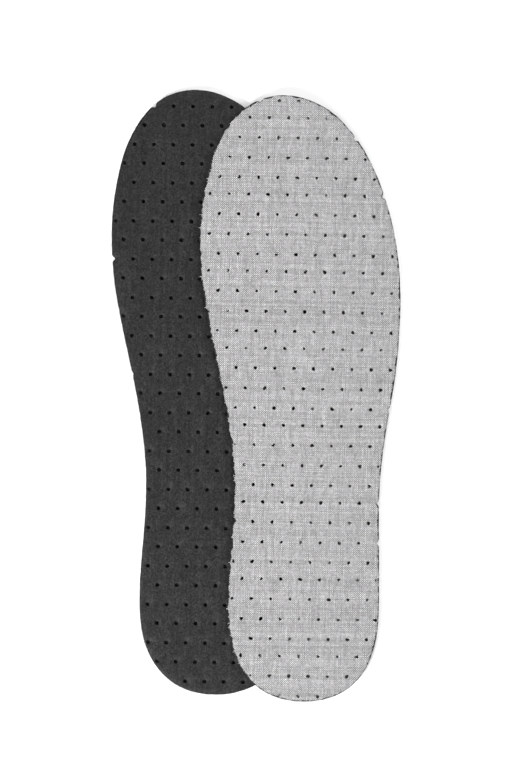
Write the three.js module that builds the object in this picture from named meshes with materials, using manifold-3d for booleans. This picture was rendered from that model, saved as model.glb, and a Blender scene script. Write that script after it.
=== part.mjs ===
// A pair of thin cushioned insoles, laid out as they are sold: the left one lies face down, so its dark foam
// shows, and the right one lies face up over it and droops past its edge to the surface beneath.
// Each insole is a foam base and a woven cover, cut to one outline from a sheet that is perforated all over.
// Millimetres, +Z up, toes towards +Y. The origin is the middle of the pair's footprint, on the surface.
import * as THREE from "three";
import { mergeVertices } from "three/addons/utils/BufferGeometryUtils.js";
import Module from "manifold-3d";

const wasm = await Module();
wasm.setup();

// ---- Layers ----
const FOAM_THICKNESS = 3;
const COVER_THICKNESS = 0.5;
const GLUE_LINE = 0.1; // between foam and cover, left as a gap
const COVER_SETBACK = 0.35; // the cloth draws back from the die-cut foam edge
const INSOLE_THICKNESS = FOAM_THICKNESS + GLUE_LINE + COVER_THICKNESS;
const REST_GAP = 0.3; // between the two insoles where one lies on the other

// ---- Perforations: staggered rows, punched four rows at a stroke ----
const HOLE_PITCH = 9;
const FOAM_HOLE_RADIUS = 0.85;
const COVER_HOLE_RADIUS = 0.6;
const FOAM_HOLE_SIDES = 4;
const COVER_HOLE_SIDES = 3;
const RIM_WIDTH = 0.7; // least foam left between a whole hole and the edge
const DEEPEST_BITE = 0.3; // how far inside the edge the centre of a hole that cuts through it lies, at most
const SHALLOWEST_BITE = -0.4;

// ---- How the right insole lies over the left one ----
const RIGHT_OFFSET = new THREE.Vector2(41.2, -2.9);
const DROOP_STRIPS = 7; // flat strips that make up the droop, each folded between two columns of holes
const ON_FOLD = 0.1; // a point of the outline this near a fold counts as on it

// ---- Outline, with the back of the heel at the origin and the toes towards +Y ----
// Each knot is a point of the outline, the way it heads there, and its Bezier handles before and after it.
const NORTH = new THREE.Vector2(0, 1);
const SOUTH = new THREE.Vector2(0, -1);
const EAST = new THREE.Vector2(1, 0);
const WEST = new THREE.Vector2(-1, 0);
const OUTLINE_KNOTS = [
  { name: "heel back", x: 0, y: 0, heading: EAST, before: 22.5, after: 25.5 },
  { name: "outer heel", x: 35.5, y: 45.5, heading: NORTH, before: 28.5, after: 12.5 },
  { name: "outer waist", x: 35.5, y: 85.5, heading: NORTH, before: 16, after: 44 },
  { name: "little toe joint", x: 45.5, y: 187.5, heading: NORTH, before: 45.5, after: 47.5 },
  { name: "toe tip", x: -9, y: 282, heading: WEST, before: 33.5, after: 27.5 },
  { name: "big toe joint", x: -48, y: 211, heading: SOUTH, before: 38, after: 34 },
  { name: "arch", x: -32, y: 99, heading: SOUTH, before: 39.5, after: 24.5 },
  { name: "inner heel", x: -35, y: 42, heading: SOUTH, before: 24.5, after: 25 },
];
const POINTS_PER_CURVE = 12;

// The two insoles. Each sheet was punched on its own, so the rows lie a little differently on each.
const LEFT_PUNCHING = {
  firstHole: new THREE.Vector2(-19.05, 274.35), // a hole of row 0, in the outline's frame
  turn: THREE.MathUtils.degToRad(-0.8),
  rowGaps: [8.87, 9.07, 8.72, 9.07], // from row 0 towards the heel
};
const RIGHT_PUNCHING = {
  firstHole: new THREE.Vector2(-20.3, 262.5),
  turn: THREE.MathUtils.degToRad(-1),
  rowGaps: [9.35, 9.2, 7.95, 9.25],
};

const foamMaterial = new THREE.MeshStandardMaterial({ color: 0x3b3b3c, roughness: 0.9, metalness: 0 });
const coverMaterial = new THREE.MeshStandardMaterial({ color: 0xb7b6b7, roughness: 0.95, metalness: 0 });

// The outline as a counter-clockwise list of points.
function outlinePoints() {
  const points = [];
  OUTLINE_KNOTS.forEach((knot, i) => {
    const next = OUTLINE_KNOTS[(i + 1) % OUTLINE_KNOTS.length];
    const start = new THREE.Vector2(knot.x, knot.y);
    const end = new THREE.Vector2(next.x, next.y);
    const curve = new THREE.CubicBezierCurve(
      start,
      start.clone().addScaledVector(knot.heading, knot.after),
      end.clone().addScaledVector(next.heading, -next.before),
      end,
    );
    points.push(...curve.getSpacedPoints(POINTS_PER_CURVE).slice(0, -1));
  });
  return points;
}

// The outline drawn inwards by a distance, each point moved along its normal.
function insetOutline(points, distance) {
  return points.map((point, i) => {
    const before = points[(i + points.length - 1) % points.length];
    const after = points[(i + 1) % points.length];
    const along = after.clone().sub(before).normalize();
    return new THREE.Vector2(point.x - along.y * distance, point.y + along.x * distance);
  });
}

// How far a point lies inside the outline (negative outside), and the nearest point on it.
function depthInside(outline, point) {
  let nearest = null;
  let least = Infinity;
  let inside = false;
  outline.forEach((a, i) => {
    const b = outline[(i + 1) % outline.length];
    const edge = b.clone().sub(a);
    const share = THREE.MathUtils.clamp(point.clone().sub(a).dot(edge) / edge.lengthSq(), 0, 1);
    const foot = a.clone().addScaledVector(edge, share);
    const distance = foot.distanceTo(point);
    if (distance < least) {
      least = distance;
      nearest = foot;
    }
    const crosses = a.y > point.y !== b.y > point.y;
    if (crosses && point.x < a.x + ((point.y - a.y) / (b.y - a.y)) * edge.x) inside = !inside;
  });
  return { depth: inside ? least : -least, nearest };
}

// The centres of the perforations that reach the outline: staggered rows, whose gaps repeat by four.
function holeCentres(outline, { firstHole, turn, rowGaps }) {
  const across = new THREE.Vector2(Math.cos(turn), Math.sin(turn));
  const down = new THREE.Vector2(Math.sin(turn), -Math.cos(turn));
  const stroke = rowGaps.reduce((sum, gap) => sum + gap, 0);
  const centres = [];
  for (let row = -4; row < 36; row++) {
    const strokes = Math.floor(row / 4);
    const inStroke = rowGaps.slice(0, row - 4 * strokes).reduce((sum, gap) => sum + gap, 0);
    const stagger = row % 2 === 0 ? 0 : HOLE_PITCH / 2;
    for (let column = -8; column < 12; column++) {
      const centre = firstHole
        .clone()
        .addScaledVector(down, strokes * stroke + inStroke)
        .addScaledVector(across, stagger + column * HOLE_PITCH);
      const { depth, nearest } = depthInside(outline, centre);
      if (depth < SHALLOWEST_BITE) continue; // misses the edge, or only grazes it
      const inwards = centre.clone().sub(nearest).normalize().multiplyScalar(Math.sign(depth));
      // A thin rim or a thin lip would tear, so a hole sits clear of the edge or opens wide into it.
      const isWhole = depth >= FOAM_HOLE_RADIUS;
      const inset = isWhole ? Math.max(depth, FOAM_HOLE_RADIUS + RIM_WIDTH) : Math.min(depth, DEEPEST_BITE);
      const shift = inset - depth;
      centres.push(centre.addScaledVector(inwards, shift));
    }
  }
  return centres;
}

// A droop along the columns of holes: level as far as the support reaches, then an S down over a few strips.
function droopProfile(support, { firstHole, turn }, drop) {
  const across = (point) => point.x * Math.cos(turn) + point.y * Math.sin(turn);
  const strip = HOLE_PITCH / 2;
  const betweenHoles = across(firstHole) + strip / 2;
  const first = betweenHoles + Math.ceil((across(support) - betweenHoles) / strip) * strip;
  const folds = Array.from({ length: DROOP_STRIPS + 1 }, (_, k) => first + k * strip);
  const heights = folds.map((_, k) => drop * (1 - THREE.MathUtils.smoothstep(k, 0, DROOP_STRIPS)));
  const heightAt = (point) => {
    const strips = THREE.MathUtils.clamp((across(point) - first) / strip, 0, DROOP_STRIPS);
    const k = Math.min(Math.floor(strips), DROOP_STRIPS - 1);
    return THREE.MathUtils.lerp(heights[k], heights[k + 1], strips - k);
  };
  return { across, folds, heightAt };
}
const LEVEL = { across: (point) => point.x, folds: [], heightAt: () => 0 };

// The outline with a point added wherever a fold line crosses it, unless it has one there already.
function withFoldPoints(outline, { across, folds }) {
  return outline.flatMap((a, i) => {
    const b = outline[(i + 1) % outline.length];
    const [from, to] = [across(a), across(b)];
    const [low, high] = [Math.min(from, to) + ON_FOLD, Math.max(from, to) - ON_FOLD];
    const shares = folds.filter((fold) => fold > low && fold < high).map((fold) => (fold - from) / (to - from));
    return [a, ...shares.sort((p, q) => p - q).map((share) => a.clone().lerp(b, share))];
  });
}

// A sheet of even thickness that follows a droop: a flat strip between each two folds, and a wall round it.
function sheetSolid(outline, bottom, thickness, droop) {
  const edge = withFoldPoints(outline, droop);
  const positions = [];
  const at = (point, top) => [point.x, point.y, bottom + droop.heightAt(point) + (top ? thickness : 0)];
  const stripEnds = [-Infinity, ...droop.folds, Infinity];
  for (let k = 0; k + 1 < stripEnds.length; k++) {
    const strip = edge.filter((point) => {
      const place = droop.across(point);
      return place > stripEnds[k] - ON_FOLD && place < stripEnds[k + 1] + ON_FOLD;
    });
    for (const [a, b, c] of THREE.ShapeUtils.triangulateShape(strip, [])) {
      positions.push(...at(strip[a], true), ...at(strip[b], true), ...at(strip[c], true));
      positions.push(...at(strip[a], false), ...at(strip[c], false), ...at(strip[b], false));
    }
  }
  edge.forEach((a, i) => {
    const b = edge[(i + 1) % edge.length];
    positions.push(...at(a, false), ...at(b, false), ...at(b, true));
    positions.push(...at(a, false), ...at(b, true), ...at(a, true));
  });
  const geometry = new THREE.BufferGeometry();
  geometry.setAttribute("position", new THREE.Float32BufferAttribute(positions, 3));
  return toSolid(geometry);
}

// A three.js geometry as a manifold-3d solid, and back.
function toSolid(geometry) {
  geometry.deleteAttribute("normal");
  geometry.deleteAttribute("uv");
  const merged = mergeVertices(geometry, 1e-4);
  const vertProperties = new Float32Array(merged.attributes.position.array);
  const triVerts = new Uint32Array(merged.index.array);
  return new wasm.Manifold(new wasm.Mesh({ numProp: 3, vertProperties, triVerts }));
}
function toGeometry(solid) {
  const { vertProperties, triVerts } = solid.getMesh();
  const geometry = new THREE.BufferGeometry();
  geometry.setAttribute("position", new THREE.BufferAttribute(new Float32Array(vertProperties), 3));
  geometry.setIndex(new THREE.BufferAttribute(new Uint32Array(triVerts), 1));
  geometry.computeVertexNormals();
  return geometry;
}

// A punched hole: an upright prism with the area of a circle, tall enough to pass through the pair.
function punch(centre, radius, sides) {
  const cornerRadius = radius * Math.sqrt((2 * Math.PI) / (sides * Math.sin((2 * Math.PI) / sides)));
  const height = 4 * INSOLE_THICKNESS;
  const prism = new THREE.CylinderGeometry(cornerRadius, cornerRadius, height, sides);
  prism.rotateX(Math.PI / 2);
  prism.translate(centre.x, centre.y, height / 4);
  return toSolid(prism);
}

function perforatedSheet(name, material, outline, centres, { bottom, thickness, radius, sides, droop }) {
  const punches = centres.map((centre) => punch(centre, radius, sides));
  const solid = wasm.Manifold.difference([sheetSolid(outline, bottom, thickness, droop), ...punches]);
  const mesh = new THREE.Mesh(toGeometry(solid), material);
  mesh.name = name;
  return mesh;
}

// One insole: its foam base and its cover, the cover on top or, lying face down, underneath.
function insole(side, { faceUp, bottom, punching, droop }) {
  const outline = outlinePoints();
  const centres = holeCentres(outline, punching);
  const coverBottom = faceUp ? bottom + FOAM_THICKNESS + GLUE_LINE : bottom;
  const foamBottom = faceUp ? bottom : bottom + COVER_THICKNESS + GLUE_LINE;
  const group = new THREE.Group();
  group.add(
    perforatedSheet(`${side}_foam_base`, foamMaterial, outline, centres, {
      bottom: foamBottom,
      thickness: FOAM_THICKNESS,
      radius: FOAM_HOLE_RADIUS,
      sides: FOAM_HOLE_SIDES,
      droop,
    }),
    perforatedSheet(`${side}_fabric_cover`, coverMaterial, insetOutline(outline, COVER_SETBACK), centres, {
      bottom: coverBottom,
      thickness: COVER_THICKNESS,
      radius: COVER_HOLE_RADIUS,
      sides: COVER_HOLE_SIDES,
      droop,
    }),
  );
  return group;
}

// Turned over, a left insole has the same outline seen from above as a right insole that lies face up.
const left = insole("left", { faceUp: false, bottom: 0, punching: LEFT_PUNCHING, droop: LEVEL });

// The right insole is level over the left one, and droops once it is past the left one's widest point.
const littleToeJoint = OUTLINE_KNOTS.find((knot) => knot.name === "little toe joint");
const leftReach = new THREE.Vector2(littleToeJoint.x + 0.5, littleToeJoint.y).sub(RIGHT_OFFSET);
const right = insole("right", {
  faceUp: true,
  bottom: 0,
  punching: RIGHT_PUNCHING,
  droop: droopProfile(leftReach, RIGHT_PUNCHING, INSOLE_THICKNESS + REST_GAP),
});
right.position.set(RIGHT_OFFSET.x, RIGHT_OFFSET.y, 0);

const pair = new THREE.Group();
pair.name = "insole_pair";
pair.add(left, right);
const footprint = new THREE.Box3().setFromObject(pair).getCenter(new THREE.Vector3());
pair.position.set(-footprint.x, -footprint.y, 0);

export default pair;
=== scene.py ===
"""The looks of a pair of cushioned insoles: dark perforated foam with a woven chambray cover.

The left insole lies face down, so its foam shows. The right one lies over it, face up, and droops past its
edge. Lengths are in millimetres until a mesh is made. The plan is drawn with the back of the heel at the origin
and the toes towards +Y.
"""

import math
import random

import bpy
from mathutils import Matrix, Vector, noise
from mathutils.geometry import delaunay_2d_cdt
from mathutils.kdtree import KDTree


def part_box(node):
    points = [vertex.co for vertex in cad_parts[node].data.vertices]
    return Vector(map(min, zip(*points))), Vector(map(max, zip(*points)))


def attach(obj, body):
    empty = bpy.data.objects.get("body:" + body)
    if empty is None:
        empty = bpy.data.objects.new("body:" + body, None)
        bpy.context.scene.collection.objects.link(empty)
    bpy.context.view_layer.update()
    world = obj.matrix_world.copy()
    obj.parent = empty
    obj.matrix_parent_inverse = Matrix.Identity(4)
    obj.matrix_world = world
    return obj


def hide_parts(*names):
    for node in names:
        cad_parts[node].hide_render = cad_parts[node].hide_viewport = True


MM = 0.001
SEED = 837

# ---- Layers ----
FOAM_THICKNESS = 3.0
COVER_THICKNESS = 0.45
LEFT_GLUE, RIGHT_GLUE = 0.08, 0.03  # the gap between foam and cover
COVER_SETBACK = 0.45  # how far the cloth draws back from the foam's cut edge, on average

# ---- Outline: (x, y), the way it heads, and its handles before and after ----
NORTH, SOUTH, EAST, WEST = Vector((0, 1)), Vector((0, -1)), Vector((1, 0)), Vector((-1, 0))
KNOTS = [
    ((0, 0), EAST, 22.5, 25.5),
    ((35.5, 45.5), NORTH, 28.5, 12.5),
    ((35.5, 85.5), NORTH, 16, 44),
    ((45.5, 187.5), NORTH, 45.5, 47.5),
    ((-9, 282), WEST, 33.5, 27.5),
    ((-48, 211), SOUTH, 38, 34),
    ((-32, 99), SOUTH, 39.5, 24.5),
    ((-35, 42), SOUTH, 24.5, 25),
]
CURVE_STEPS = 120  # per curve, before its points are spaced evenly
OUTLINE_STEP = 0.6

# ---- Perforations ----
HOLE_PITCH = 9
HOLE_ROWS, HOLE_COLUMNS = range(-4, 36), range(-8, 12)  # more than enough to reach past the outline
HOLE_POINTS = 14
FOAM_HOLE_RADIUS = 0.85
COVER_HOLE_RADII = (0.6, 0.86)  # smallest and largest
LEAST_RIM = 1.6  # how many of its radii a cover hole's centre keeps from the cover's edge
RIM_WIDTH = 0.7  # least foam left between a whole hole and the edge
DEEPEST_BITE, SHALLOWEST_BITE = 0.3, -0.4  # how far inside the edge a cut-through hole's centre lies
COVER_BITE_RADIUS = 0.6
BITE_STEP = 0.4
LEFT_PUNCHING = {"first": (-19.05, 274.35), "turn": math.radians(-0.8), "gaps": (8.87, 9.07, 8.72, 9.07)}
RIGHT_PUNCHING = {"first": (-20.3, 262.5), "turn": math.radians(-1), "gaps": (9.35, 9.2, 7.95, 9.25)}

# ---- Cut edges, from the top face down: (distance into the material, share of the thickness) ----
# drawn_in moves the points of a hole by about 0.6 of that distance, because a small loop turns sharply.
FOAM_EDGE = [(0.16, 1), (0.05, 0.975), (0, 0.92), (0.1, 0.5), (0, 0.08), (0.07, 0.025), (0.22, 0)]
FOAM_HOLE = [(0.42, 1), (0.15, 0.962), (0.02, 0.87), (0, 0.5), (0, 0.1), (0.07, 0.03), (0.22, 0)]
PINCHED_HOLE = [(0.42, 1), (0.15, 0.962), (0, 0.87), (-1.25, 0.55), (-1.25, 0.4), (0, 0.05), (0.1, 0)]
COVER_EDGE = [(0.12, 1), (0.0, 0.8), (0.02, 0.3), (0.1, 0)]
PINCHED_NEAR_EDGE = 2.6  # soft foam closes up inside a hole whose centre is nearer the edge than this
FOAM_WAVES = [(0.16, 14), (0.1, 2.2)]  # of the edge: (depth, distance over which it changes)
COVER_WAVES = [(0.45, 5), (0.6, 1.5)]

# ---- Meshes ----
FILL_SPACING = 3.6  # between points inside an outline
FILL_ROW = 0.87  # between rows of them, as a share of the spacing
FILL_CLEARANCE = 0.35 * FILL_SPACING
LEAST_DRAWN_IN = 0.15  # share of the distance that a point at a sharp corner still moves
COLLAR_RADIUS = 1.35  # of the ring of points round a cover hole
COLLAR_CLEARANCE = 0.7
MERGE_DISTANCE = 1e-6
SEED_STEP = 7.7  # between the noises of two seeds

# ---- Lie of the sheets ----
DROOP_START = 4.2  # where the right insole begins to droop, measured across its columns of holes
DROOP_WIDTH = 31.5
WAVE = 0.06  # height of the slight waves of a soft sheet
DIMPLE_DEPTH, DIMPLE_RADIUS = 0.06, 0.8  # the dip of the cloth at a hole

# ---- The cloth ----
YARN = 0.5  # pitch of warp and weft
YARN_SIDES, YARN_JOINTS = 5, 4  # of the mesh of a loose end
YARN_TAPER = 0.55  # of its radius, from foot to tip
FLATTEST_CUT = 0.35  # cosine to the edge's normal below which a cut yarn doesn't stand out
FRAYED_SHARE = 0.7  # of the yarns that are cut square across
STUBS_PER_HOLE = 8


# ---------------------------------------------------------------- the plan
def bezier(a, b, c, d, t):
    s = 1 - t
    return a * s**3 + b * (3 * s * s * t) + c * (3 * s * t * t) + d * t**3


def evenly_spaced(line, step):
    """Points about step apart along a polyline, without its last point."""
    lengths = [0]
    for p, q in zip(line, line[1:]):
        lengths.append(lengths[-1] + (q - p).length)
    count = max(1, round(lengths[-1] / step))
    points, k = [], 0
    for n in range(count):
        along = lengths[-1] * n / count
        while lengths[k + 1] < along:
            k += 1
        points.append(line[k].lerp(line[k + 1], (along - lengths[k]) / (lengths[k + 1] - lengths[k])))
    return points


def outline_points():
    """The insole's outline, counter-clockwise."""
    points = []
    for knot, next_knot in zip(KNOTS, KNOTS[1:] + KNOTS[:1]):
        place, heading, _, after = knot
        next_place, next_heading, before, _ = next_knot
        start, end = Vector(place), Vector(next_place)
        handles = start + heading * after, end - next_heading * before
        curve = [bezier(start, *handles, end, k / CURVE_STEPS) for k in range(CURVE_STEPS + 1)]
        points += evenly_spaced(curve, OUTLINE_STEP)
    return points


def ways_in(points):
    """For a loop with the material on its left, the direction into the material at each point."""
    found = []
    for before, after in zip(points[-1:] + points[:-1], points[1:] + points[:1]):
        along = (after - before).normalized()
        found.append(Vector((-along.y, along.x)))
    return found


def drawn_in(points, distance):
    """A loop moved into the material, by less where it turns sharply."""
    ways = ways_in(points)
    count = len(points)
    turns = [ways[k - 1].dot(ways[(k + 1) % count]) for k in range(count)]
    moved = []
    for k, (p, way) in enumerate(zip(points, ways)):
        sharpest = min(turns[k - 1], turns[k], turns[(k + 1) % count])
        moved.append(p + way * distance * min(1, max(LEAST_DRAWN_IN, sharpest)))
    return moved


def inside(points, place):
    """Whether a place is inside a closed loop."""
    within = False
    for a, b in zip(points, points[1:] + points[:1]):
        if (a.y > place.y) == (b.y > place.y):
            continue
        if place.x < a.x + (place.y - a.y) / (b.y - a.y) * (b.x - a.x):
            within = not within
    return within


def tree_of(points):
    tree = KDTree(len(points))
    for k, p in enumerate(points):
        tree.insert((p.x, p.y, 0), k)
    tree.balance()
    return tree


def gap(tree, place):
    """How far a place is from the nearest point of a tree."""
    return tree.find((place.x, place.y, 0))[2]


def hole_centres(outline, punching):
    """(centres of whole holes, centres of holes that bite into the edge), in staggered rows."""
    across = Vector((math.cos(punching["turn"]), math.sin(punching["turn"])))
    down = Vector((across.y, -across.x))
    tree = tree_of(outline)
    whole, bites = [], []
    along = -sum(punching["gaps"])
    for row in HOLE_ROWS:
        for column in HOLE_COLUMNS:
            stagger = 0.5 * (row % 2)
            centre = Vector(punching["first"]) + down * along + across * (stagger + column) * HOLE_PITCH
            place, _, distance = tree.find((centre.x, centre.y, 0))
            depth = distance if inside(outline, centre) else -distance
            inwards = (centre - Vector(place[:2])).normalized() * (1 if depth > 0 else -1)
            if depth >= FOAM_HOLE_RADIUS:
                whole.append(centre + inwards * max(0, FOAM_HOLE_RADIUS + RIM_WIDTH - depth))
            elif depth > SHALLOWEST_BITE:
                bites.append(centre + inwards * min(0, DEEPEST_BITE - depth))
        along += punching["gaps"][row % 4]
    return whole, bites


def bitten(outline, bites, radius):
    """The outline with a round notch at each bite."""
    points = outline
    for centre in bites:
        outside = [(p - centre).length > radius for p in points]
        if all(outside):
            continue
        first = next(k for k, out in enumerate(outside) if out and not outside[(k + 1) % len(points)])
        points = points[first:] + points[: first + 1]
        outside = outside[first:] + outside[: first + 1]
        last = next(k for k in range(1, len(points)) if outside[k])
        entry, leave = points[0] - centre, points[last] - centre
        start, end = math.atan2(entry.y, entry.x), math.atan2(leave.y, leave.x)
        while end > start:
            end -= 2 * math.pi
        steps = max(4, round((start - end) * radius / BITE_STEP))
        arc = [start + (end - start) * k / steps for k in range(1, steps)]
        notch = [centre + Vector((math.cos(a), math.sin(a))) * radius for a in arc]
        points = notch + points[last + 1 : -1]
    return points


def wander(place, size, seed):
    """Smooth noise, about -1 to 1, that changes over that distance."""
    return noise.noise(Vector((place.x / size, place.y / size, seed * SEED_STEP)))


def roughened(points, waves, seed):
    """A loop with each point moved in or out: waves are (depth, distance over which it changes)."""
    return [
        p + way * sum(depth * wander(p, size, seed + k) for k, (depth, size) in enumerate(waves))
        for p, way in zip(points, ways_in(points))
    ]


def round_hole(centre, radius, rng, oval, corners):
    """A hole's rim, clockwise, so that the material is on its left.

    oval and corners are how much its radius changes, two and three times round.
    """
    lean, turn = rng.uniform(0, 2 * math.pi), rng.uniform(0, 2 * math.pi)
    rim = []
    for k in range(HOLE_POINTS):
        a = -2 * math.pi * k / HOLE_POINTS
        r = radius * (1 + oval * math.cos(2 * a + lean) + corners * math.cos(3 * a + turn))
        rim.append(centre + Vector((math.cos(a), math.sin(a))) * r)
    return rim


# ---------------------------------------------------------------- meshes
def mesh_object(name, vertices, faces):
    mesh = bpy.data.meshes.new(name)
    mesh.from_pydata([Vector(v) * MM for v in vertices], [], faces)
    mesh.validate()
    mesh.shade_smooth()
    obj = bpy.data.objects.new(name, mesh)
    bpy.context.scene.collection.objects.link(obj)
    return obj


def fill_points(rims, extra):
    """The extra points, and more spread over the inside of the first rim, clear of the rims and of those."""
    outline = rims[0]
    tree = tree_of([p for rim in rims for p in rim] + extra)
    low = Vector((min(p.x for p in outline), min(p.y for p in outline)))
    high = Vector((max(p.x for p in outline), max(p.y for p in outline)))
    points = list(extra)
    for row in range(int((high.y - low.y) / (FILL_SPACING * FILL_ROW)) + 1):
        for column in range(int((high.x - low.x) / FILL_SPACING) + 2):
            along = (column + 0.5 * (row % 2)) * FILL_SPACING
            place = low + Vector((along, row * FILL_SPACING * FILL_ROW))
            if gap(tree, place) > FILL_CLEARANCE and inside(outline, place):
                points.append(place)
    return points


def loop_edges(counts):
    """The edges of closed loops, whose points are numbered one loop after another."""
    edges, start = [], 0
    for count in counts:
        edges += [(start + k, start + (k + 1) % count) for k in range(count)]
        start += count
    return edges


def triangulated(name, loops, filling):
    """Triangles over the inside of the first loop, less the other loops, as the numbers of their corners."""
    counts = [len(loop) for loop in loops]
    points = [p for loop in loops for p in loop] + filling
    owner = [number for number, count in enumerate(counts) for _ in range(count)] + [None] * len(filling)
    places, _, faces, sources, *_ = delaunay_2d_cdt(points, loop_edges(counts), [], 0, MERGE_DISTANCE)
    if not all(sources):
        crossings = [p for p, found in zip(places, sources) if not found]
        raise RuntimeError(f"{name}: cut edges cross at {crossings[:9]}")
    triangles = []
    for face in faces:
        a, b, c = (sources[k][0] for k in face)
        if owner[a] is not None and owner[a] == owner[b] == owner[c]:
            middle = (points[a] + points[b] + points[c]) / 3
            is_hole = owner[a] > 0
            if inside(loops[owner[a]], middle) == is_hole:
                continue
        triangles.append((a, b, c))
    return triangles


def slab(name, rims, profiles, base, thickness, lift, collars=()):
    """A closed slab between z = base and base + thickness, lifted by lift(place).

    rims are its cut edges, the outline first, and each has a profile. collars are more points for its faces.
    """
    levels = len(profiles[0])
    sides = loop_edges([len(rim) for rim in rims])
    rings = []
    for n in range(levels):
        rings.append([drawn_in(rim, profile[n][0]) for rim, profile in zip(rims, profiles)])
    filling = fill_points(rings[0], list(collars))
    triangles = triangulated(name, rings[0], filling)

    def raised(place, share):
        return (place.x, place.y, base + share * thickness + lift(place))

    vertices = []
    for n, loops in enumerate(rings):
        for loop, profile in zip(loops, profiles):
            vertices += [raised(p, profile[n][1]) for p in loop]
    ring_count = len(vertices) // levels
    top_filling = len(vertices)
    bottom_filling = top_filling + len(filling)
    vertices += [raised(p, 1) for p in filling] + [raised(p, 0) for p in filling]

    def upper(k):
        return k if k < ring_count else top_filling + k - ring_count

    def lower(k):
        return ring_count * (levels - 1) + k if k < ring_count else bottom_filling + k - ring_count

    faces = [tuple(upper(k) for k in triangle) for triangle in triangles]
    faces += [tuple(lower(k) for k in reversed(triangle)) for triangle in triangles]
    for level in range(levels - 1):
        here, below = ring_count * level, ring_count * (level + 1)
        faces += [(here + a, below + a, below + b, here + b) for a, b in sides]
    return mesh_object(name, vertices, faces)


def yarn_end_points(end, rng):
    """Rings of points round a bent, tapering yarn end: (foot, heading, length, radius)."""
    foot, heading, length, radius = end
    bend = Vector((rng.gauss(0, 0.35), rng.gauss(0, 0.35), rng.gauss(-0.15, 0.3))) * length
    along = heading.normalized()
    side = along.cross(Vector((0, 0, 1))).normalized()
    over = side.cross(along)
    points = []
    for joint in range(YARN_JOINTS):
        t = joint / (YARN_JOINTS - 1)
        middle = foot + heading * length * t + bend * t * t * 0.5
        middle.z = max(middle.z, radius)
        thick = radius * (1 - YARN_TAPER * t)
        for k in range(YARN_SIDES):
            a = 2 * math.pi * k / YARN_SIDES
            points.append(middle + (side * math.cos(a) + over * math.sin(a)) * thick)
    return points


def yarn_end_faces(first):
    """The faces of one yarn end, whose points are numbered from first."""
    faces = []
    for joint in range(YARN_JOINTS - 1):
        ring = first + joint * YARN_SIDES
        for k in range(YARN_SIDES):
            a, b = ring + k, ring + (k + 1) % YARN_SIDES
            faces.append((a, b, b + YARN_SIDES, a + YARN_SIDES))
    tip = first + (YARN_JOINTS - 1) * YARN_SIDES
    faces.append(tuple(first + k for k in reversed(range(YARN_SIDES))))
    faces.append(tuple(tip + k for k in range(YARN_SIDES)))
    return faces


def yarn_ends(name, ends, rng):
    """Short loose lengths of yarn: ends are (foot, heading, length, radius)."""
    vertices, faces = [], []
    for end in ends:
        faces += yarn_end_faces(len(vertices))
        vertices += yarn_end_points(end, rng)
    return mesh_object(name, vertices, faces)


# ---------------------------------------------------------------- one insole
def foam(name, outline, punching, base, lift, rng):
    """The foam base, with its underside at that height before it is lifted."""
    whole, bites = hole_centres(outline, punching)
    edge = roughened(bitten(outline, bites, FOAM_HOLE_RADIUS), FOAM_WAVES, seed=3)
    edge_tree = tree_of(edge)
    rims, profiles = [edge], [FOAM_EDGE]
    for centre in whole:
        near_edge = gap(edge_tree, centre) < PINCHED_NEAR_EDGE
        radius = FOAM_HOLE_RADIUS * rng.uniform(0.93, 1.03)
        rims.append(round_hole(centre, radius, rng, oval=0.05, corners=0.03))
        profiles.append(PINCHED_HOLE if near_edge else FOAM_HOLE)
    return slab(name, rims, profiles, base, FOAM_THICKNESS, lift)


def cover_edge(outline, rng):
    """The cloth's cut edge: each yarn ends a little further in or out than its neighbour."""
    set_back = [p + way * COVER_SETBACK for p, way in zip(outline, ways_in(outline))]
    rough = roughened(set_back, COVER_WAVES, seed=11)
    return [p + way * rng.uniform(-0.1, 0.14) for p, way in zip(rough, ways_in(rough))]


def cover_holes(centres, edge_tree, rng):
    """The rims of the cloth's holes, which are less even than the foam's."""
    rims = []
    for centre in centres:
        radius = min(rng.uniform(*COVER_HOLE_RADII), gap(edge_tree, centre) / LEAST_RIM)
        rims.append(round_hole(centre, radius, rng, oval=rng.uniform(0, 0.24), corners=rng.uniform(0, 0.2)))
    return rims


def collar_points(centres, edge, edge_tree):
    """A ring of points round each hole, for the cloth to dip over, without those close to the edge."""
    angles = [k * math.pi / 4 for k in range(8)]
    ways = [Vector((math.cos(a), math.sin(a))) for a in angles]
    points = [centre + way * COLLAR_RADIUS for centre in centres for way in ways]
    return [p for p in points if gap(edge_tree, p) > COLLAR_CLEARANCE and inside(edge, p)]


def edge_yarn(edge, turn, in_cloth, rng):
    """Ends of yarn that stand out where the edge cuts across the warp or the weft."""
    warp = Vector((-math.sin(turn), math.cos(turn), 0))
    weft = Vector((warp.y, -warp.x, 0))
    ends = []
    for p, way in zip(edge, ways_in(edge)):
        out = Vector((-way.x, -way.y, 0))
        for yarn in (warp, weft):
            facing = out.dot(yarn)
            if abs(facing) < FLATTEST_CUT or rng.random() > FRAYED_SHARE * abs(facing):
                continue
            foot = in_cloth(p, rng.uniform(0.25, 0.85)) - out * 0.3
            heading = yarn * math.copysign(1, facing) + Vector((0, 0, rng.uniform(-0.25, 0.05)))
            ends.append((foot, heading, 0.3 + min(1.1, rng.expovariate(4)), rng.uniform(0.07, 0.13)))
    return ends


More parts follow.
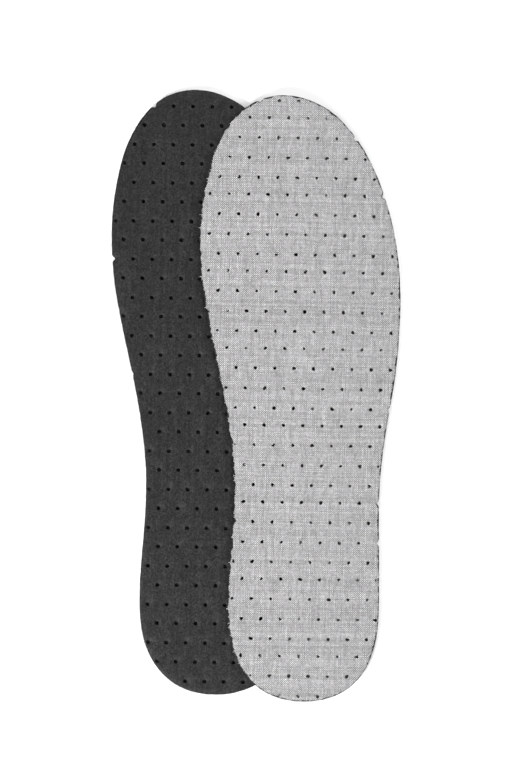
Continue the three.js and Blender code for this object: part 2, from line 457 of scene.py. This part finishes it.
def hole_yarn(rim, centre, in_cloth, rng):
    """A few ends of yarn that reach into a hole, and pale stubs that lie round its rim."""

    def ways(foot):
        """The way from the rim to the hole's centre, and the way along the rim."""
        towards = Vector((centre.x - foot.x, centre.y - foot.y, 0)).normalized()
        return towards, Vector((-towards.y, towards.x, 0))

    ends = []
    for _ in range(rng.choice((0, 0, 0, 1, 1, 2))):
        foot = rng.choice(rim)
        towards, side = ways(foot)
        heading = towards + side * rng.uniform(-0.6, 0.6) + Vector((0, 0, rng.uniform(-0.5, 0)))
        start = in_cloth(foot, 0.45) - towards * 0.2
        ends.append((start, heading, rng.uniform(0.3, 0.85), rng.uniform(0.1, 0.16)))
    for foot in rng.sample(rim, STUBS_PER_HOLE):
        towards, side = ways(foot)
        heading = towards + side * rng.uniform(-1.2, 1.2)
        start = in_cloth(foot, 0.85) - towards * rng.uniform(0.35, 0.6)
        ends.append((start, heading, rng.uniform(0.2, 0.35), rng.uniform(0.11, 0.16)))
    return ends


def cover(name, outline, punching, base, lift, rng):
    """The cloth, with its underside at that height before it is lifted, and its loose yarn ends."""
    whole, bites = hole_centres(outline, punching)
    edge = cover_edge(bitten(outline, bites, COVER_BITE_RADIUS), rng)
    edge_tree, hole_tree = tree_of(edge), tree_of(whole)
    holes = cover_holes(whole, edge_tree, rng)

    def dimpled(place):
        return lift(place) - DIMPLE_DEPTH * math.exp(-((gap(hole_tree, place) / DIMPLE_RADIUS) ** 2))

    def in_cloth(place, share):
        """A point in the cloth, at that share of its thickness."""
        return Vector((place.x, place.y, base + share * COVER_THICKNESS + dimpled(place)))

    profiles = [COVER_EDGE] * (1 + len(holes))
    collars = collar_points(whole, edge, edge_tree)
    cloth = slab(name, [edge] + holes, profiles, base, COVER_THICKNESS, dimpled, collars)
    ends = edge_yarn(edge, punching["turn"], in_cloth, rng)
    for rim, centre in zip(holes, whole):
        if gap(edge_tree, centre) >= PINCHED_NEAR_EDGE:
            ends += hole_yarn(rim, centre, in_cloth, rng)
    return cloth, yarn_ends(name + "_yarn_ends", ends, rng)


# ---------------------------------------------------------------- materials
GREY_WARP, PALE_WEFT = 0.155, 0.378
STRAY = 1.2  # how far the yarns stray from straight, from one end of the cloth to the other
CLOTH_TINT = (1.0, 0.992, 1.0)
CLOTH_ROUGHNESS = 0.95
LOOSE_YARN, LOOSE_YARN_TINT = 0.72, (1.0, 0.992, 0.99)
FOAM_SHADE = 0.0131
PAINTED_SHEEN_PER_MM = -0.000013  # painted sheen: the foam's colour darkens by this much per mm towards the toe, so it is lighter towards the heel
FOAM_TINT = (1.0, 0.985, 1.01)
MATT_SPECULAR = 0.2


class Shader:
    """A material's nodes, made one call at a time.

    A value is a number, a colour or another node's socket.
    """

    def __init__(self, name):
        self.material = bpy.data.materials.new(name)
        self.material.use_nodes = True
        self.tree = self.material.node_tree
        self.surface = self.tree.nodes["Principled BSDF"]

    def node(self, kind, values=None, **settings):
        made = self.tree.nodes.new("ShaderNode" + kind)
        for key, value in settings.items():
            setattr(made, key, value)
        for key, value in (values or {}).items():
            self.put(made.inputs[key], value)
        return made

    def put(self, socket, value):
        if isinstance(value, bpy.types.NodeSocket):
            self.tree.links.new(value, socket)
        else:
            socket.default_value = value

    def math(self, operation, *values):
        made = self.node("Math", operation=operation)
        for k, value in enumerate(values):
            self.put(made.inputs[k], value)
        return made.outputs[0]

    def mix(self, share, a, b):
        """Between numbers a and b."""
        return self.node("Mix", {"Factor": share, "A": a, "B": b}, data_type="FLOAT").outputs["Result"]

    def noise(self, place, scale, detail=2.0, roughness=0.5):
        values = {"Vector": place, "Scale": scale, "Detail": detail, "Roughness": roughness}
        return self.node("TexNoise", values, noise_dimensions="3D").outputs["Fac"]

    def scatter(self, dimensions, **values):
        """A number from 0 to 1 that differs from each place to the next."""
        return self.node("TexWhiteNoise", values, noise_dimensions=dimensions).outputs["Value"]

    def point(self, x, y, z=0.0):
        return self.node("CombineXYZ", {"X": x, "Y": y, "Z": z}).outputs[0]

    def swing(self, value, amount):
        """A factor around 1 from a value around 0.5."""
        return self.math("MULTIPLY_ADD", self.math("SUBTRACT", value, 0.5), amount, 1.0)

    def product(self, first, *others):
        for other in others:
            first = self.math("MULTIPLY", first, other)
        return first

    def plan(self, turn):
        """(place in mm, its x, its y) in the object's own frame, with y along the warp."""
        place = self.node("TexCoord").outputs["Object"]
        place = self.node("VectorMath", {0: place, "Scale": 1000.0}, operation="SCALE").outputs[0]
        values = {"Vector": place, "Angle": -turn}
        place = self.node("VectorRotate", values, rotation_type="Z_AXIS").outputs[0]
        split = self.node("SeparateXYZ", {0: place})
        return place, split.outputs["X"], split.outputs["Y"]

    def colour(self, value, tint):
        """Sets the surface's colour: a shade of grey times a tint."""
        names = ("Red", "Green", "Blue")
        shades = {name: self.math("MULTIPLY", value, share) for name, share in zip(names, tint)}
        self.put(self.surface.inputs["Base Color"], self.node("CombineColor", shades).outputs[0])

    def finish(self, **values):
        """Sets the surface's other sockets, with _ for a space in a name."""
        for key, value in values.items():
            self.put(self.surface.inputs[key.replace("_", " ")], value)

    def bump(self, height, distance, strength):
        values = {"Height": height, "Distance": distance * MM, "Strength": strength}
        self.put(self.surface.inputs["Normal"], self.node("Bump", values).outputs[0])


def chambray(turn):
    """Plain-woven cloth. Each yarn has its own shade, thick and thin places and a rounded form, with painted
    shade where it dives under.
    """
    s = Shader("cover_chambray")
    place, x, y = s.plan(turn)
    x = s.math("ADD", x, s.math("MULTIPLY", s.noise(place, 0.05), STRAY))
    y = s.math("ADD", y, s.math("MULTIPLY", s.noise(place, 0.04), STRAY))
    a, b = s.math("DIVIDE", x, YARN), s.math("DIVIDE", y, YARN)
    column, row = s.math("FLOOR", a), s.math("FLOOR", b)
    u = s.math("SUBTRACT", s.math("FRACT", a), 0.5)
    v = s.math("SUBTRACT", s.math("FRACT", b), 0.5)
    warp_over = s.math("FLOORED_MODULO", s.math("ADD", column, row), 2.0)

    def rounded(across, along):
        """How high the yarn on top stands, from its middle to where it dives under."""
        crown = s.math("COSINE", s.math("MULTIPLY", along, math.pi))
        belly = s.math("COSINE", s.math("MULTIPLY", across, 0.85 * math.pi))
        return s.product(belly, s.math("MULTIPLY_ADD", crown, 0.45, 0.55))

    height = s.mix(warp_over, rounded(v, u), rounded(u, v))

    def line(number, along, each, pairs, slub, seed):
        """How pale a yarn is along its length: its own shade, every other yarn's, thick and thin places."""
        own = s.scatter("1D", W=s.math("ADD", number, seed))
        odd = s.math("FLOORED_MODULO", number, 2.0)
        where = s.point(s.math("MULTIPLY", number, 3.37), s.math("MULTIPLY", along, 0.16), seed)
        return s.product(s.swing(own, each), s.swing(odd, pairs), s.swing(s.noise(where, 1.0), slub))

    cell = s.scatter("2D", Vector=s.point(column, row))
    fibres = s.noise(place, 9.0, detail=3.0, roughness=0.6)
    value = s.product(
        s.mix(warp_over, PALE_WEFT, GREY_WARP),
        line(column, y, each=0.14, pairs=0.08, slub=0.85, seed=0.5),
        line(row, x, each=0.24, pairs=0.06, slub=0.5, seed=40.5),
        s.math("MULTIPLY_ADD", height, 0.36, 0.74),  # painted shade: darker where a yarn dives under
        s.swing(cell, 0.4),
        s.swing(fibres, 0.12),
    )
    s.colour(value, CLOTH_TINT)
    s.finish(Roughness=CLOTH_ROUGHNESS, Specular_IOR_Level=MATT_SPECULAR, Sheen_Weight=0.15)
    s.bump(s.math("MULTIPLY_ADD", fibres, 0.3, height), distance=0.12, strength=0.4)
    return s.material


def loose_yarn():
    """The pale cut ends of the cover's yarn."""
    s = Shader("cover_yarn")
    place, _, _ = s.plan(0.0)
    value = s.product(LOOSE_YARN, s.swing(s.noise(place, 0.9), 1.4), s.swing(s.noise(place, 14.0), 0.7))
    s.colour(value, LOOSE_YARN_TINT)
    s.finish(Roughness=CLOTH_ROUGHNESS, Specular_IOR_Level=MATT_SPECULAR)
    s.bump(s.noise(place, 14.0), distance=0.05, strength=0.5)
    return s.material


def latex_foam(turn):
    """Fine-celled dark foam: a soft grain, small pores, faint streaks along its length, and a painted sheen
    that makes it darker towards the toe.
    """
    s = Shader("foam_latex")
    place, x, y = s.plan(turn)
    stretched = s.point(s.math("MULTIPLY", x, 0.7), s.math("MULTIPLY", y, 0.03))
    streaks = s.noise(stretched, 1.0, detail=3.0)
    patches = s.noise(place, 0.035)
    grain = s.noise(place, 1.6, detail=3.0, roughness=0.7)
    mottle = s.noise(place, 0.3)
    cells = s.node("TexVoronoi", {"Vector": place, "Scale": 2.0}, feature="F1").outputs["Color"]
    value = s.product(
        # painted sheen: the foam's colour grows darker towards the toe and lighter towards the heel
        s.math("MULTIPLY_ADD", y, PAINTED_SHEEN_PER_MM, FOAM_SHADE),
        s.swing(streaks, 1.4),
        s.swing(patches, 0.35),
        s.swing(grain, 3.0),
        s.swing(mottle, 0.8),
        s.swing(cells, 2.0),
    )
    s.colour(value, FOAM_TINT)
    s.finish(Roughness=s.math("MULTIPLY_ADD", grain, 0.2, 0.44), Specular_IOR_Level=MATT_SPECULAR)
    s.bump(s.math("ADD", s.math("MULTIPLY", cells, 0.3), grain), distance=0.12, strength=0.5)
    return s.material


def paint(obj, material):
    obj.data.materials.clear()
    obj.data.materials.append(material)


# ---------------------------------------------------------------- the room, in metres
CAMERA_PLACE = Vector((0.0009, 0.0039, 1.46))
VIEW_HEIGHT = 0.3617  # how much of the floor the picture's long side takes in
SENSOR = 36.0
FLOOR_SIZE = 3.6
KEY_PLACE, KEY_SIZE, KEY_WATTS = (-0.95, -1.0, 1.3), 0.6, 42
FILL_SIZE = 0.9
FILL_LIGHTS = [  # (place, watts)
    ((-1.2, 0.5, 1.3), 7),
    ((0.2, 1.3, 1.3), 19),
    ((1.3, 0.2, 1.3), 17),
    ((0.5, -1.2, 1.3), 10),
]


def floor():
    bpy.ops.mesh.primitive_plane_add(size=FLOOR_SIZE, location=(0, 0, 0))
    plane = bpy.context.object
    plane.name = "floor"
    s = Shader("floor_white")
    s.surface.inputs["Base Color"].default_value = (0.95, 0.95, 0.95, 1)
    s.finish(Roughness=1.0, Specular_IOR_Level=0.0)
    paint(plane, s.material)


def area_light(name, place, size, watts):
    """A round soft light that faces the object."""
    light = bpy.data.lights.new(name, "AREA")
    light.shape = "DISK"
    light.size = size
    light.energy = watts
    obj = bpy.data.objects.new(name, light)
    obj.location = place
    obj.rotation_euler = Vector(place).to_track_quat("Z", "Y").to_euler()
    bpy.context.scene.collection.objects.link(obj)


def studio_world():
    """The room's own light: pale near the horizon, and dark overhead so that little falls into the holes."""
    world = bpy.data.worlds.new("studio")
    world.use_nodes = True
    tree = world.node_tree
    background = tree.nodes["Background"]
    background.inputs["Color"].default_value = (0.97, 0.985, 1, 1)
    split = tree.nodes.new("ShaderNodeSeparateXYZ")
    strength = tree.nodes.new("ShaderNodeMath")
    strength.operation = "MULTIPLY_ADD"
    strength.use_clamp = True
    strength.inputs[1].default_value = -2.0
    strength.inputs[2].default_value = 1.0  # at the horizon, falling to nothing 30 degrees up
    tree.links.new(tree.nodes.new("ShaderNodeTexCoord").outputs["Generated"], split.inputs[0])
    tree.links.new(split.outputs["Z"], strength.inputs[0])
    tree.links.new(strength.outputs[0], background.inputs["Strength"])
    bpy.context.scene.world = world


def overhead_camera():
    camera = bpy.data.cameras.new("camera")
    camera.sensor_width = SENSOR
    camera.lens = SENSOR * CAMERA_PLACE.z / VIEW_HEIGHT
    camera.clip_start = 0.01
    obj = bpy.data.objects.new("camera", camera)
    obj.location = CAMERA_PLACE
    bpy.context.scene.collection.objects.link(obj)
    bpy.context.scene.camera = obj


def room():
    floor()
    area_light("key", KEY_PLACE, KEY_SIZE, KEY_WATTS)
    for number, (place, watts) in enumerate(FILL_LIGHTS):
        area_light(f"fill_{number}", place, FILL_SIZE, watts)
    studio_world()
    bpy.context.scene.view_settings.view_transform = "Standard"
    overhead_camera()


def place_over(obj, corner, plan_corner):
    """Moves a piece drawn with the heel at the origin to where the CAD has its insole."""
    shift = Vector((corner.x - plan_corner.x * MM, corner.y - plan_corner.y * MM, 0))
    obj.data.transform(Matrix.Translation(shift))


def droop(place):
    """How far below its highest level the right insole lies at a place, from 0 to 1."""
    turn = RIGHT_PUNCHING["turn"]
    across = place.x * math.cos(turn) + place.y * math.sin(turn)
    t = min(1, max(0, (across - DROOP_START) / DROOP_WIDTH))
    return t * t * (3 - 2 * t)


def lying_flat(place):
    """The left insole lies flat, apart from the slight waves of a soft sheet."""
    return WAVE + WAVE * wander(place, size=38, seed=1)


def lying_over(place):
    """The right insole is level over the left one, then droops to the floor."""
    return WAVE + WAVE * wander(place, size=34, seed=2) + highest * (1 - droop(place))


def insole(side, punching, foam_base, cover_base, lift):
    """One insole, with its foam and its cover at those heights, in place of the CAD's."""
    foam_piece = foam(f"{side}_foam", outline, punching, foam_base, lift, rng)
    cloth, loose = cover(f"{side}_cover", outline, punching, cover_base, lift, rng)
    paint(foam_piece, foam_material[side])
    paint(cloth, cover_material[side])
    paint(loose, yarn_material)
    for piece in (foam_piece, cloth, loose):
        place_over(piece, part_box(f"{side}_foam_base")[0], plan_corner)
        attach(piece, f"{side}_insole")
    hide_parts(f"{side}_foam_base")
    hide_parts(f"{side}_fabric_cover")


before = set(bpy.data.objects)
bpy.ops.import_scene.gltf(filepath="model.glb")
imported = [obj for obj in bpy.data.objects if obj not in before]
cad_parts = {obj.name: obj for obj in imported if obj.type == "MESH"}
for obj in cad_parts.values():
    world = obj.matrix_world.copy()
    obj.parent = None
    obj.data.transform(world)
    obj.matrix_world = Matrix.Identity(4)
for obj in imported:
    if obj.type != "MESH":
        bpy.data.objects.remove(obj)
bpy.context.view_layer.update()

outline = outline_points()
plan_corner = Vector((min(p.x for p in outline), min(p.y for p in outline)))
rng = random.Random(SEED)
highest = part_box("right_foam_base")[1].z / MM - FOAM_THICKNESS
foam_material = {"left": latex_foam(LEFT_PUNCHING["turn"]), "right": latex_foam(RIGHT_PUNCHING["turn"])}
cover_material = {"left": chambray(LEFT_PUNCHING["turn"]), "right": chambray(RIGHT_PUNCHING["turn"])}
yarn_material = loose_yarn()

insole("left", LEFT_PUNCHING, COVER_THICKNESS + LEFT_GLUE, 0.0, lying_flat)
insole("right", RIGHT_PUNCHING, 0.0, FOAM_THICKNESS + RIGHT_GLUE, lying_over)
room()
